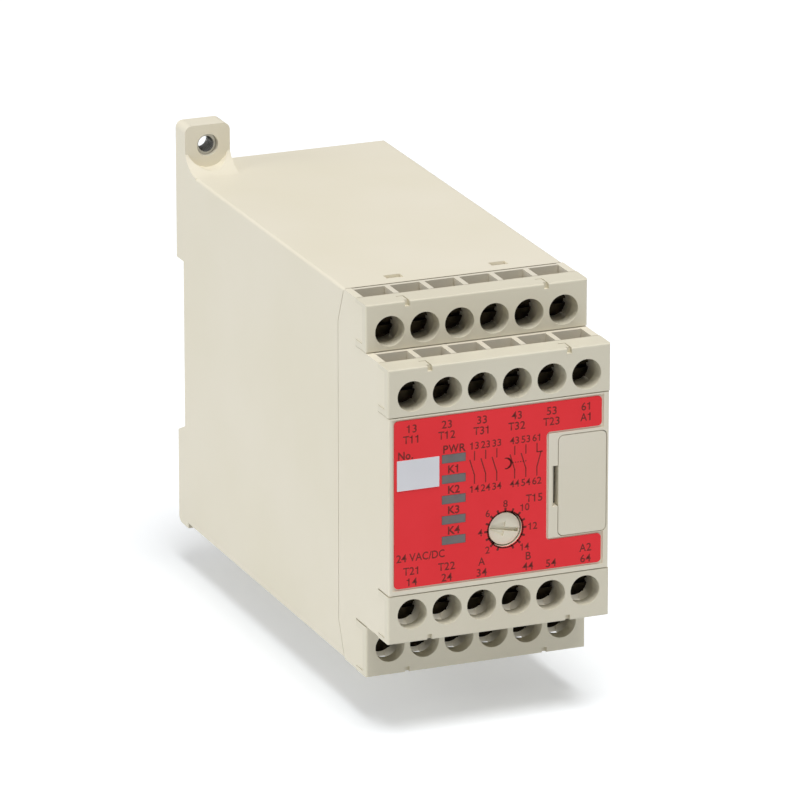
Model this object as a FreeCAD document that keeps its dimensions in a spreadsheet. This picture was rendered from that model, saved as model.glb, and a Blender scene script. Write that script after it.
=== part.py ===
import FreeCAD, Part
import math
import os
from types import SimpleNamespace

import Sketcher

# Safety relay in a 45 mm DIN-rail housing.
#
# Frame: the origin is on the rear mounting face, midway across and at mid height. +Y points to the
# rear, so the front panel looks along -Y; +Z is up and +X is to the right of someone facing the panel.
# Terminal rows are numbered from the top: rows 1 and 4 stand back by step_depth from rows 2 and 3.

SIZES = [
    # overall housing
    ("case_width", 45.0, "width of the housing"),
    ("case_depth", 112.0, "front panel to rear mounting face"),
    ("case_height", 74.2, "height of the housing without its mounting tabs"),
    ("case_wall", 2.0, "wall of the rear case"),
    ("edge_radius", 0.6, "rounding of the long outer edges"),
    ("seam", 0.2, "gap left between fitted mouldings"),
    ("contact_gap", 0.05, "gap left between a piece and its seat"),
    # rear face
    ("rear_thickness", 7.1, "solid rear wall, from the mounting face to the hollow"),
    ("foot_depth", 5.3, "thickness of the mounting tabs and of the rear foot"),
    ("foot_height", 0.7, "how far the rear foot stands below the case"),
    ("foot_radius", 1.5, "rounding of the rear foot"),
    ("slot_depth", 3.8, "depth of the rail slot"),
    ("slot_top", 17.95, "upper shoulder of the rail slot"),
    ("slot_bottom", 16.6, "lower shoulder of the rail slot at its floor"),
    ("slot_slope", 1.7, "drop of the lower shoulder from the floor to the rear"),
    ("rail_seat", 1.1, "height of the ribs that the rail bears on"),
    ("rail_thickness", 1.0, "flange of the mounting rail"),
    ("rail_lip", 1.05, "overlap of the fixed lips on the rail"),
    ("lip_width", 8.0, "width of a fixed rail lip"),
    ("lip_offset", 12.0, "centre of a fixed rail lip from the middle"),
    # mounting tabs
    ("tab_width", 9.5, "width of a mounting tab"),
    ("tab_height", 9.1, "height of a mounting tab above the case"),
    ("tab_radius", 1.5, "rounding of the tab's outer corners"),
    ("mount_rise", 4.9, "mounting hole above or below the case"),
    ("mount_hole_radius", 2.25, "radius of the mounting hole"),
    ("driver_channel_radius", 4.5, "half-round channel in front of the mounting hole"),
    ("gusset_reach", 5.7, "length of the gusset in front of the tab"),
    ("gusset_radius", 6.5, "concave radius of the gusset"),
    ("insert_setback", 0.9, "threaded insert behind the tab's front face"),
    ("insert_bore_radius", 1.65, "minor radius of the insert's thread"),
    # joint between case and front housing
    ("parting_depth", 22.4, "front panel to the parting line at the top and bottom edges"),
    ("parting_slant", 3.0, "how far the parting line leans back"),
    ("parting_slant_height", 7.1, "height over which it leans"),
    ("latch_offset", 10.8, "latch windows from the middle"),
    ("latch_width", 3.4, "width of a latch window"),
    ("latch_length", 2.1, "length of a latch window"),
    ("latch_setback", 3.0, "latch window behind the parting line"),
    ("latch_tongue", 1.2, "thickness of a latch tongue"),
    ("lip_thickness", 1.0, "spigot lip inside the case"),
    ("lip_length", 3.0, "length of the spigot lip"),
    # terminal rows
    ("poles", 6, "terminals in a row"),
    ("row_margin", 1.2, "side of the housing to the space of the outer terminal"),
    ("step_depth", 11.1, "rows 1 and 4 behind rows 2 and 3"),
    ("upper_outer_height", 9.5, "height of row 1"),
    ("upper_inner_height", 9.6, "height of row 2"),
    ("lower_inner_height", 9.7, "height of row 3"),
    ("lower_outer_height", 10.3, "height of row 4"),
    ("web", 1.2, "wall of the stepped terrace behind the rows"),
    ("side_wall", 1.5, "side wall of the front housing beside the terminals"),
    ("divider", 1.1, "partition between two terminals"),
    ("hole_floor", 0.25, "driver hole to the chamber's floor"),
    ("axis_drop", 5.6, "outer edge of a row to its terminal axis"),
    ("pocket_depth", 10.2, "row face to the rear of the wire pocket"),
    # terminal covers
    ("cover_proud", 0.15, "how far a cover stands out past the housing's side"),
    ("cover_plate", 1.9, "front plate of a terminal cover"),
    ("collar_depth", 3.0, "row face to the inner end of the driver holes"),
    ("strip_depth", 5.2, "top strip of a cover, front to back"),
    ("strip_thickness", 0.8, "thickness of the top strip"),
    ("arm_height", 1.25, "lower snap arm of a cover"),
    ("arm_thickness", 1.0, "thickness of the snap arms"),
    ("hole_wall", 1.1, "wall between two driver holes"),
    ("cover_radius", 0.35, "rounding of the cover's front edges"),
    ("notch_width", 1.0, "release notch in a cover"),
    ("notch_height", 1.1, "height of the release notch"),
    ("notch_depth", 0.9, "depth of the release notch"),
    ("slit_width", 0.25, "slit behind the release notch"),
    ("slit_reach", 3.4, "row face to the end of the slit"),
    ("slit_cross", 1.5, "cross slit at the end"),
    # terminal metalwork
    ("head_clearance", 0.3, "driver hole larger than the screw head, on the radius"),
    ("head_height", 2.0, "height of the screw head"),
    ("head_setback", 5.4, "row face to the screw head"),
    ("thread_radius", 1.7, "terminal screw thread, outer radius"),
    ("thread_reach", 3.5, "screw length below the head"),
    ("screw_slot", 0.9, "width of the screw slot"),
    ("screw_slot_depth", 1.0, "depth of the screw slot"),
    ("clamp_clearance", 0.15, "clamp plate to each partition"),
    ("clamp_thickness", 0.8, "thickness of the clamp plate"),
    ("lug_clearance", 0.2, "terminal plate to each partition"),
    ("lug_height", 6.2, "height of the terminal plate"),
    ("lug_thickness", 1.0, "thickness of the terminal plate"),
    ("tail_width", 2.4, "width of the terminal's solder tail"),
    ("tail_thickness", 0.8, "thickness of the solder tail"),
    ("screw_clearance", 0.1, "radial clearance of the screw in its plates"),
    # front panel
    ("panel_wall", 2.0, "wall of the front panel"),
    ("label_inset_left", 1.1, "left side of the housing to the label"),
    ("label_inset_right", 1.55, "right side of the housing to the label"),
    ("label_top_gap", 0.65, "row 2 to the label"),
    ("label_bottom_gap", 1.25, "row 3 to the label"),
    ("label_thickness", 0.25, "thickness of the face label"),
    ("label_recess", 0.3, "depth of the label's seat"),
    ("label_margin", 0.4, "seat around the label"),
    ("label_radius", 0.8, "corners of the label"),
    ("label_cutout_gap", 2.45, "label's cut-out to the connector cover"),
    ("label_cutout_top", 11.5, "top of the label's cut-out"),
    ("label_cutout_bottom", 10.1, "bottom of the label's cut-out, below the middle"),
    ("tag_inset", 0.52, "label edge to the write-on tag"),
    ("tag_width", 8.55, "width of the write-on tag"),
    ("tag_bottom", 3.6, "bottom of the write-on tag"),
    ("tag_height", 5.95, "height of the write-on tag"),
    ("tag_thickness", 0.12, "thickness of the write-on tag"),
    # indicators
    ("lamps", 5, "indicator windows"),
    ("lamp_gap", 0.57, "write-on tag to the line of the indicator windows"),
    ("lamp_width", 4.88, "width of an indicator window"),
    ("lamp_height", 1.75, "height of an indicator window"),
    ("lamp_top", 8.78, "centre of the first indicator window"),
    ("lamp_pitch", 4.05, "indicator windows apart"),
    ("guide_rear", 5.4, "rear of the light guide behind the panel face"),
    ("guide_bar", 1.0, "thickness of the light guide's bar"),
    ("led_height", 1.8, "height of an indicator light"),
    # time dial
    ("dial_x", 1.25, "dial axis right of the middle"),
    ("dial_z", 6.8, "dial axis below the middle"),
    ("dial_radius", 3.15, "radius of the time dial"),
    ("dial_gap", 0.3, "running gap around the dial"),
    ("dial_setback", 0.6, "dial face behind the panel"),
    ("dial_height", 2.0, "thickness of the dial"),
    ("dial_slot_width", 0.8, "driver slot of the dial"),
    ("dial_rest", 11.0, "degrees that the arrow is turned up from the left at rest"),
    ("dial_slot_length", 5.8, "length of the driver slot"),
    ("dial_slot_depth", 0.7, "depth of the driver slot"),
    ("arrow_depth", 0.3, "depth of the arrow"),
    ("arrow_length", 2.9, "length of the arrow head"),
    ("arrow_width", 2.9, "width of the arrow head"),
    ("dial_shaft_radius", 1.2, "shaft of the dial"),
    ("dial_shaft_length", 1.9, "shaft of the dial inside its switch"),
    ("running_fit", 0.05, "radial clearance of the shaft"),
    ("switch_side", 7.4, "side of the rotary switch"),
    # expansion connector and its cover
    ("door_inset", 0.6, "right side of the housing to the connector cover"),
    ("door_width", 9.8, "width of the connector cover"),
    ("door_top", 10.4, "top of the connector cover"),
    ("door_bottom", 9.5, "bottom of the connector cover, below the middle"),
    ("door_thickness", 1.3, "plate of the connector cover"),
    ("door_radius", 1.0, "corners of the connector cover"),
    ("door_clearance", 0.15, "gap around the connector cover"),
    ("door_rebate", 1.1, "ledge that the connector cover bears on"),
    ("door_hook", 2.6, "length of the connector cover's snap hooks"),
    ("pry_width", 1.35, "width of the pry slot"),
    ("pry_top", 4.6, "top of the pry slot"),
    ("pry_bottom", 3.5, "bottom of the pry slot, below the middle"),
    ("pry_bevel", 0.5, "bevel on the outer edge of the pry slot"),
    ("socket_setback", 3.2, "connector face behind the panel"),
    ("contact_pitch", 2.0, "contacts apart"),
    ("contact_side", 0.9, "side of a contact opening"),
    ("contacts", 7, "contacts in a column"),
    # circuit boards
    ("board", 1.6, "thickness of the circuit boards"),
    ("front_board_setback", 8.0, "panel face to the front board"),
    ("side_board_inset", 6.5, "side of the housing to the inner face of a side board"),
    ("guide_rib", 1.1, "ribs that hold the side boards"),
    ("guide_rib_height", 2.2, "height of those ribs"),
    ("boss_radius", 1.2, "bosses behind the panel"),
    # relays and power parts
    ("relays", 4, "force-guided relays"),
    ("relay_room", 8.0, "top of a relay to the opposite board"),
    ("relay_width", 13.2, "relay, along the housing"),
    ("relay_length", 40.0, "relay, along the board"),
    ("relay_pitch", 16.0, "relays apart"),
    ("capacitor_radius", 5.0, "filter capacitor"),
    ("capacitor_length", 20.0, "length of a filter capacitor"),
    # rail hook
    ("hook_width", 14.0, "channel of the rail hook"),
    ("hook_mouth", 10.6, "narrow mouth of that channel"),
    ("hook_depth", 4.8, "depth of the channel"),
    ("hook_cover", 1.5, "ribs that keep the hook in its channel"),
    ("hook_gap", 0.3, "clearance of the hook in its channel"),
    ("hook_bite", 1.15, "overlap of the hook on the rail"),
    ("hook_pull", 4.2, "hook end below the case"),
    ("spring_radius", 0.85, "mean radius of the hook's spring"),
    ("spring_wire", 0.18, "wire radius of the spring"),
    ("spring_length", 9.5, "length of the spring at rest"),
    ("spring_turns", 6, "turns of the spring"),
    ("stop_height", 2.2, "stop that carries the spring"),
    ("slot_skin", 0.4, "hook wall behind the spring"),
]


class Size:
    """A number of the sheet, or a sum made from such numbers, with the expression that keeps it linked."""

    def __init__(self, value, text):
        self.value = value
        self.text = text

    def join(self, other, sign, result):
        return Size(result, f"({self.text} {sign} {as_size(other).text})")

    def __add__(self, other):
        return self.join(other, "+", self.value + as_size(other).value)

    def __sub__(self, other):
        return self.join(other, "-", self.value - as_size(other).value)

    def __mul__(self, other):
        return self.join(other, "*", self.value * as_size(other).value)

    def __truediv__(self, other):
        return self.join(other, "/", self.value / as_size(other).value)

    def __neg__(self):
        return Size(-self.value, f"(0 - {self.text})")

    def __rsub__(self, other):
        return as_size(other) - self

    __radd__ = __add__
    __rmul__ = __mul__


def as_size(number):
    return number if isinstance(number, Size) else Size(float(number), repr(float(number)))


doc = FreeCAD.newDocument("safety_relay")


def make_sheet():
    sheet = doc.addObject("Spreadsheet::Sheet", "Sizes")
    cells = SimpleNamespace()
    for line, (name, value, note) in enumerate(SIZES, 1):
        sheet.set(f"A{line}", note)
        sheet.set(f"B{line}", str(value))
        sheet.setAlias(f"B{line}", name)
        setattr(cells, name, Size(float(value), f"Sizes.{name}"))
    doc.recompute()
    return cells


d = make_sheet()

# Derived places, all in the frame of the housing.
half_width = d.case_width / 2
half_height = d.case_height / 2
front = -d.case_depth
parting = front + d.parting_depth
parting_side = parting + d.parting_slant
inner_x = half_width - d.case_wall
inner_z = half_height - d.case_wall
seat_x = half_width - d.side_wall
panel_top = half_height - d.upper_outer_height - d.upper_inner_height
panel_bottom = -half_height + d.lower_outer_height + d.lower_inner_height
upper_step = half_height - d.upper_outer_height
lower_step = -half_height + d.lower_outer_height
pole_pitch = (d.case_width - d.row_margin * 2) / d.poles
first_pole = -(pole_pitch * (d.poles - 1)) / 2
driver_hole_radius = (pole_pitch - d.hole_wall) / 2
head_radius = driver_hole_radius - d.head_clearance
floor_drop = driver_hole_radius + d.hole_floor
clamp_side = pole_pitch - d.divider - d.clamp_clearance * 2
lug_width = pole_pitch - d.divider - d.lug_clearance * 2
mount_x = half_width - d.tab_width / 2
mount_z = half_height + d.mount_rise
label_left = half_width - d.label_inset_left
label_right = half_width - d.label_inset_right
tag_left = label_left - d.tag_inset
lamp_left = tag_left - d.tag_width - d.lamp_gap
door_right = half_width - d.door_inset
door_left = door_right - d.door_width
side_board_offset = half_width - d.side_board_inset
terminal_board_y = front + d.step_depth * 2 + d.web
front_board_y = front + d.front_board_setback
rail_front = -d.slot_depth + d.rail_seat

ROWS = [
    SimpleNamespace(name="row_1", face=front + d.step_depth, edge=half_height,
                    height=d.upper_outer_height, up=True),
    SimpleNamespace(name="row_2", face=front, edge=upper_step,
                    height=d.upper_inner_height, up=True),
    SimpleNamespace(name="row_3", face=front, edge=lower_step,
                    height=d.lower_inner_height, up=False),
    SimpleNamespace(name="row_4", face=front + d.step_depth, edge=-half_height,
                    height=d.lower_outer_height, up=False),
]

made = []


# ---------------------------------------------------------------- drawing helpers


def new_body(label):
    body = doc.addObject("PartDesign::Body", label)
    body.Label = label
    made.append(body)
    return body


def rect(low_u, high_u, low_v, high_v):
    return [(low_u, low_v), (high_u, low_v), (high_u, high_v), (low_u, high_v)]


def circle(u, v, radius):
    return SimpleNamespace(u=as_size(u), v=as_size(v), radius=as_size(radius))


def hold(sketch, kind, geometry, spot, size):
    """Hold one point of the sketch at a linked distance from the sketch's origin."""
    index = sketch.addConstraint(Sketcher.Constraint(kind, -1, 1, geometry, spot, size.value))
    sketch.setExpression(f"Constraints[{index}]", size.text)


def draw(sketch, loops):
    for loop in loops:
        first = sketch.GeometryCount
        if isinstance(loop, SimpleNamespace):
            centre = FreeCAD.Vector(loop.u.value, loop.v.value, 0)
            up = FreeCAD.Vector(0, 0, 1)
            sketch.addGeometry(Part.Circle(centre, up, loop.radius.value), False)
            hold(sketch, "DistanceX", first, 3, loop.u)
            hold(sketch, "DistanceY", first, 3, loop.v)
            index = sketch.addConstraint(Sketcher.Constraint("Radius", first, loop.radius.value))
            sketch.setExpression(f"Constraints[{index}]", loop.radius.text)
            continue
        corners = [(as_size(u), as_size(v)) for u, v in loop]
        spots = [FreeCAD.Vector(u.value, v.value, 0) for u, v in corners]
        for start, end in zip(spots, spots[1:] + spots[:1]):
            sketch.addGeometry(Part.LineSegment(start, end), False)
        for n, (u, v) in enumerate(corners):
            following = first + (n + 1) % len(corners)
            sketch.addConstraint(Sketcher.Constraint("Coincident", first + n, 2, following, 1))
            hold(sketch, "DistanceX", first + n, 1, u)
            hold(sketch, "DistanceY", first + n, 1, v)


def make_sketch(body, name, plane, level, loops):
    """A sketch on the body's own plane: side is YZ, front is XZ and top is XY."""
    role = {"side": "YZ_Plane", "front": "XZ_Plane", "top": "XY_Plane"}[plane]
    sketch = body.newObject("Sketcher::SketchObject", name)
    datum = [part for part in body.Origin.OriginFeatures if part.Role == role][0]
    sketch.AttachmentSupport = [(datum, "")]
    sketch.MapMode = "FlatFace"
    sketch.setExpression("AttachmentOffset.Base.z", as_size(level).text)
    draw(sketch, loops)
    return sketch


def extrude(kind, body, name, plane, loops, low, high):
    """Add or cut an outline between two levels along the axis that the plane faces."""
    low, high = as_size(low), as_size(high)
    level = -high if plane == "front" else low
    sketch = make_sketch(body, name + "_outline", plane, level, loops)
    feature = body.newObject("PartDesign::" + kind, name)
    feature.Profile = sketch
    feature.Reversed = kind == "Pocket"
    feature.setExpression("Length", (high - low).text)
    return feature


def pad(body, name, plane, loops, low, high):
    return extrude("Pad", body, name, plane, loops, low, high)


def cut(body, name, plane, loops, low, high):
    """A pocket, checked to have taken material away."""
    doc.recompute()
    before = body.Shape.Volume
    feature = extrude("Pocket", body, name, plane, loops, low, high)
    doc.recompute()
    if body.Shape.Volume > before - 1e-6:
        raise RuntimeError(f"{name} cuts nothing")
    return feature


def repeat(body, name, feature, axis, length, count):
    """Copy a feature in a straight row along the H_Axis or V_Axis of its own sketch."""
    pattern = body.newObject("PartDesign::LinearPattern", name)
    pattern.Originals = [feature]
    pattern.Direction = (feature.Profile[0], [axis])
    pattern.setExpression("Length", length.text)
    pattern.setExpression("Occurrences", count.text)
    body.Tip = pattern
    return pattern


def pole_row(body, name, feature):
    return repeat(body, name, feature, "H_Axis", pole_pitch * (d.poles - 1), d.poles)


def pick_edges(body, axes, test):
    """Straight edges of the body along one of the axes whose middle passes the test."""
    names = []
    for number, edge in enumerate(body.Shape.Edges, 1):
        if edge.Curve.TypeId != "Part::GeomLine":
            continue
        direction = edge.Vertexes[-1].Point - edge.Vertexes[0].Point
        if max(abs(getattr(direction, axis)) for axis in axes) < 0.999 * direction.Length:
            continue
        if test(edge.CenterOfMass):
            names.append(f"Edge{number}")
    return names


def near(number, size):
    return abs(number - as_size(size).value) < 1e-4


def dress(kind, body, name, size, axes, test):
    doc.recompute()
    names = pick_edges(body, axes, test)
    if not names:
        raise RuntimeError(f"{name} finds no edge")
    base = body.Tip
    feature = body.newObject("PartDesign::" + kind, name)
    feature.Base = (base, names)
    feature.setExpression("Radius" if kind == "Fillet" else "Size", size.text)
    body.Tip = feature
    return feature


def fillet(body, name, radius, axes, test):
    return dress("Fillet", body, name, radius, axes, test)


def box(label, x, y, z):
    """A plain block between three pairs of levels."""
    block = doc.addObject("Part::Box", label)
    for side, axis, (low, high) in zip(("Length", "Width", "Height"), "xyz", (x, y, z)):
        low, high = as_size(low), as_size(high)
        block.setExpression(side, (high - low).text)
        block.setExpression(f"Placement.Base.{axis}", low.text)
    return block


def rod(label, x, y, z, radius):
    """A cylinder along Y; y is its pair of levels."""
    low, high = as_size(y[0]), as_size(y[1])
    cylinder = doc.addObject("Part::Cylinder", label)
    cylinder.Placement.Rotation = FreeCAD.Rotation(FreeCAD.Vector(1, 0, 0), -90)
    cylinder.setExpression("Radius", as_size(radius).text)
    cylinder.setExpression("Height", (high - low).text)
    for axis, size in zip("xyz", (x, low, z)):
        cylinder.setExpression(f"Placement.Base.{axis}", as_size(size).text)
    return cylinder


def keep(piece, label):
    piece.Label = label
    made.append(piece)
    return piece


def combine(kind, label, base, tool):
    joined = doc.addObject("Part::" + kind, label)
    joined.Base = base
    joined.Tool = tool
    return joined


def group(label, pieces):
    """Several loose pieces of one kind that share a node."""
    bundle = doc.addObject("Part::Compound", label)
    bundle.Links = pieces
    return keep(bundle, label)


def place_row(piece, row):
    """Put a piece drawn for an upward row at its own row; the lower rows are turned over."""
    if not row.up:
        piece.Placement.Rotation = FreeCAD.Rotation(FreeCAD.Vector(0, 1, 0), 180)
    piece.setExpression("Placement.Base.y", row.face.text)
    piece.setExpression("Placement.Base.z", row.edge.text)


# ---------------------------------------------------------------- rear case


def case():
    body = new_body("case")
    outline = [
        (parting + d.seam, half_height),
        (0, half_height),
        (0, d.slot_top),
        (-d.slot_depth, d.slot_top),
        (-d.slot_depth, -d.slot_bottom),
        (0, -d.slot_bottom - d.slot_slope),
        (0, -half_height - d.foot_height),
        (-d.foot_depth, -half_height - d.foot_height),
        (-d.foot_depth, -half_height),
        (parting + d.seam, -half_height),
        (parting_side + d.seam, d.parting_slant_height - half_height),
        (parting_side + d.seam, half_height - d.parting_slant_height),
    ]
    pad(body, "case_block", "side", [outline], -half_width, half_width)
    fillet(body, "case_edges", d.edge_radius, "y",
           lambda at: near(abs(at.x), half_width) and near(abs(at.z), half_height))
    fillet(body, "foot_edge", d.foot_radius, "x",
           lambda at: near(at.y, 0) and near(at.z, -half_height - d.foot_height))
    cut(body, "case_hollow", "front", [rect(-inner_x, inner_x, -inner_z, inner_z)],
        parting - d.case_wall, -d.rear_thickness)
    board_guides(body)
    windows = [rect(side * d.latch_offset - d.latch_width / 2, side * d.latch_offset + d.latch_width / 2,
                    parting + d.latch_setback, parting + d.latch_setback + d.latch_length)
               for side in (-1, 1)]
    cut(body, "latch_windows", "top", windows, -half_height - 1, half_height + 1)
    for side, name in ((-1, "upper"), (1, "lower")):
        mounting_tab(body, side, name)
    rail_slot(body)
    hook_channel(body)
    return body


def board_guides(body):
    """Pairs of ribs at the top and bottom that hold the two side boards on edge."""
    outer = side_board_offset + d.board + d.contact_gap
    inner = side_board_offset - d.contact_gap
    ribs = []
    for side in (-1, 1):
        for face, width in ((outer, d.guide_rib), (inner, -d.guide_rib)):
            near_x, far_x = side * face, side * (face + width)
            for end in (-1, 1):
                ribs.append(rect(near_x, far_x, end * (inner_z - d.guide_rib_height), end * (inner_z + 0.5)))
    pad(body, "board_guides", "front", ribs, parting_side + d.lip_length + 2, -d.rear_thickness)


def mounting_tab(body, side, name):
    """A tab at one rear corner: the upper one stands at the left and the lower one at the right."""
    up = -side
    outer = side * half_width
    inner = side * (half_width - d.tab_width)
    base = up * (half_height - 2 * d.edge_radius)
    ramp_top = up * (half_height + d.gusset_radius) - up * ramp_drop()
    hole_x, hole_z = side * mount_x, up * mount_z
    low, high = (outer, inner) if side < 0 else (inner, outer)
    ramp = [(-d.foot_depth - d.gusset_reach, base), (-d.foot_depth, base),
            (-d.foot_depth, ramp_top), (-d.foot_depth - d.gusset_reach, ramp_top)]
    pad(body, name + "_gusset", "side", [ramp], low, high)
    hollow = circle(-d.foot_depth - d.gusset_reach, up * (half_height + d.gusset_radius), d.gusset_radius)
    cut(body, name + "_gusset_curve", "side", [hollow], low, high)
    plate = rect(outer, inner, base, up * (half_height + d.tab_height))
    pad(body, name + "_tab", "front", [plate], -d.foot_depth, 0)
    cut(body, name + "_channel", "front", [circle(hole_x, hole_z, d.driver_channel_radius)],
        -d.foot_depth - d.gusset_reach, -d.foot_depth)
    cut(body, name + "_hole", "front", [circle(hole_x, hole_z, d.mount_hole_radius)], -d.foot_depth, 0)
    fillet(body, name + "_tab_corners", d.tab_radius, "y",
           lambda at: near(at.z, up * (half_height + d.tab_height)) and at.x * side > 0)


def ramp_drop():
    """Height of the gusset's arc centre above the point where the arc meets the tab."""
    value = (d.gusset_radius.value ** 2 - d.gusset_reach.value ** 2) ** 0.5
    return Size(value, "sqrt(Sizes.gusset_radius ^ 2 - Sizes.gusset_reach ^ 2)")


def rail_slot(body):
    """Ribs that the rail's flanges bear on, and the fixed lips over its upper edge."""
    ribs = [rect(side * d.lip_offset - d.web, side * d.lip_offset + d.web, -d.slot_bottom, d.slot_top)
            for side in (-1, 1)]
    pad(body, "rail_ribs", "front", ribs, -d.slot_depth, rail_front)
    lips = [rect(side * d.lip_offset - d.lip_width / 2, side * d.lip_offset + d.lip_width / 2,
                 d.slot_top - d.rail_lip, d.slot_top + d.edge_radius) for side in (-1, 1)]
    pad(body, "rail_lips", "front", lips, rail_front + d.rail_thickness + d.contact_gap * 4, 0)


def hook_channel(body):
    """A T-shaped channel up the rear face, from the foot to the rail slot, with the spring's stop."""
    wide, mouth = d.hook_width / 2, d.hook_mouth / 2
    tee = [(-wide, -d.hook_depth), (wide, -d.hook_depth), (wide, -d.hook_cover), (mouth, -d.hook_cover),
           (mouth, 1), (-mouth, 1), (-mouth, -d.hook_cover), (-wide, -d.hook_cover)]
    cut(body, "hook_channel", "top", [tee], -half_height - d.foot_height - 1, -d.slot_bottom + 0.2)
    stop = rect(-spring_slot, spring_slot, stop_low, stop_low + d.stop_height)
    pad(body, "spring_stop", "front", [stop], -d.hook_depth - 0.5, slot_floor - d.hook_gap)


# The rail hook and its spring: the spring stands on the case's stop and pushes up on the hook's slot.
spring_slot = d.spring_radius + d.spring_wire + d.hook_gap
slot_floor = -d.hook_cover - d.hook_gap - d.slot_skin
hook_shoulder = -d.slot_bottom - d.slot_slope + 0.8
stop_low = hook_shoulder - 4 - d.spring_length - d.stop_height
slot_high = stop_low + d.stop_height + d.spring_length


def din_hook():
    body = new_body("din_hook")
    wide = d.hook_width / 2 - d.hook_gap
    mouth = d.hook_mouth / 2 - d.hook_gap
    low_y, high_y = -d.hook_depth + d.hook_gap, -d.hook_cover - d.hook_gap
    bottom = -half_height - d.foot_height - d.hook_pull
    pad(body, "hook_slide", "front", [rect(-wide, wide, bottom, hook_shoulder)], low_y, high_y)
    tip = [(high_y - 0.2, bottom), (-d.hook_gap, bottom), (-d.hook_gap, hook_tip - 0.9),
           (-d.hook_gap - 0.9, hook_tip), (rail_front + d.rail_thickness + 0.15, hook_tip),
           (rail_front + d.rail_thickness + 0.15, hook_shoulder), (high_y - 0.2, hook_shoulder)]
    pad(body, "hook_nose", "side", [tip], -mouth, mouth)
    slot = rect(-spring_slot, spring_slot, stop_low - d.hook_gap, slot_high)
    cut(body, "spring_slot", "front", [slot], low_y - 1, slot_floor)
    pull = rect(-mouth + 2, mouth - 2, bottom + 1, bottom + 1 + d.hook_pull / 2)
    cut(body, "pull_slot", "front", [pull], low_y - 1, 0)
    fillet(body, "hook_corners", d.edge_radius, "y", lambda at: near(at.z, bottom))
    return body


hook_tip = d.slot_top - 35.0 + d.hook_bite


def din_hook_spring():
    helix = doc.addObject("Part::Helix", "hook_spring_path")
    rise = d.spring_length - 2 * (d.spring_wire + d.contact_gap)
    helix.setExpression("Pitch", (rise / d.spring_turns).text)
    helix.setExpression("Height", rise.text)
    helix.setExpression("Radius", d.spring_radius.text)
    wire = doc.addObject("Part::RegularPolygon", "hook_spring_wire")
    wire.Polygon = 8
    wire.setExpression("Circumradius", d.spring_wire.text)
    wire.Placement.Rotation = FreeCAD.Rotation(FreeCAD.Vector(1, 0, 0), 90)
    wire.setExpression("Placement.Base.x", d.spring_radius.text)
    coil = doc.addObject("Part::Sweep", "din_hook_spring")
    coil.Sections = [wire]
    coil.Spine = (helix, [])
    coil.Solid = True
    coil.Frenet = True
    coil.setExpression("Placement.Base.y", ((slot_floor - d.hook_depth) / 2).text)
    coil.setExpression("Placement.Base.z", (stop_low + d.stop_height + d.spring_wire + d.contact_gap).text)
    return keep(coil, "din_hook_spring")


def mount_inserts():
    for side, name in ((-1, "upper_mount_insert"), (1, "lower_mount_insert")):
        x, z = side * mount_x, -side * mount_z
        low = -d.foot_depth + d.insert_setback
        shell = rod(name + "_shell", x, (low, 0), z, d.mount_hole_radius - d.contact_gap)
        bore = rod(name + "_bore", x, (low - 1, 1), z, d.insert_bore_radius)
        keep(combine("Cut", name, shell, bore), name)


# ---------------------------------------------------------------- front housing


def front_housing():
    body = new_body("front_housing")
    outline = [
        (front, lower_step), (front, upper_step),
        (front + d.step_depth, upper_step), (front + d.step_depth, half_height),
        (parting, half_height), (parting_side, half_height - d.parting_slant_height),
        (parting_side, d.parting_slant_height - half_height), (parting, -half_height),
        (front + d.step_depth, -half_height), (front + d.step_depth, lower_step),
    ]
    pad(body, "housing_block", "side", [outline], -half_width, half_width)
    terraces = front + d.step_depth + d.web
    board_seat = terraces + d.step_depth
    web_top = inner_z - d.contact_gap
    hollow = [
        (front + d.panel_wall, panel_bottom + d.web), (front + d.panel_wall, panel_top - d.web),
        (terraces, panel_top - d.web), (terraces, upper_step - d.web),
        (board_seat, upper_step - d.web), (board_seat, web_top),
        (parting_side + 1, web_top), (parting_side + 1, -web_top),
        (board_seat, -web_top), (board_seat, lower_step + d.web),
        (terraces, lower_step + d.web), (terraces, panel_bottom + d.web),
    ]
    cut(body, "housing_hollow", "side", [hollow], -inner_x, inner_x)
    for row in ROWS:
        row_seat(body, row, web_top)
    spigot(body)
    latches(body)
    panel(body)
    fillet(body, "panel_edges", d.cover_radius, "z",
           lambda at: near(at.y, front) and near(abs(at.x), half_width))
    return body


def toward(row, distance):
    """Level at a distance inward from the row's outer edge."""
    return row.edge - distance if row.up else row.edge + distance


def span(first, second):
    return (first, second) if first.value < second.value else (second, first)


def row_seat(body, row, web_top):
    """Room for one row's terminal block between the side walls, and rebates for its cover."""
    outer = toward(row, -d.case_wall)
    inner = toward(row, row.height)
    low, high = span(outer, inner)
    rear = row.face + d.step_depth
    cut(body, row.name + "_bay", "side", [rect(row.face - 1, rear, low, high)], -seat_x, seat_x)
    if row.name in ("row_1", "row_4"):
        low, high = span(outer, web_top if row.up else -web_top)
        lid = rect(rear - 0.5, parting_side + 1, low, high)
        cut(body, row.name + "_case_overlap", "side", [lid], -seat_x, seat_x)
    low, high = span(outer, inner)
    plate = rect(row.face - 1, row.face + d.cover_plate + d.seam, low, high)
    cut(body, row.name + "_plate_rebate", "side", [plate], -half_width - 1, half_width + 1)
    strip_end = row.face + d.strip_depth + d.seam
    low, high = span(outer, toward(row, d.strip_thickness + d.contact_gap))
    cut(body, row.name + "_strip_rebate", "side", [rect(row.face - 1, strip_end, low, high)],
        -half_width - 1, half_width + 1)
    low, high = span(toward(row, row.height - d.arm_height - d.seam), inner)
    arms = []
    for side in (-1, 1):
        inside = side * (half_width - d.arm_thickness - d.contact_gap)
        arms.append(rect(inside, side * (half_width + 1), low, high))
    cut(body, row.name + "_arm_rebates", "front", arms, row.face, strip_end)


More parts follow.
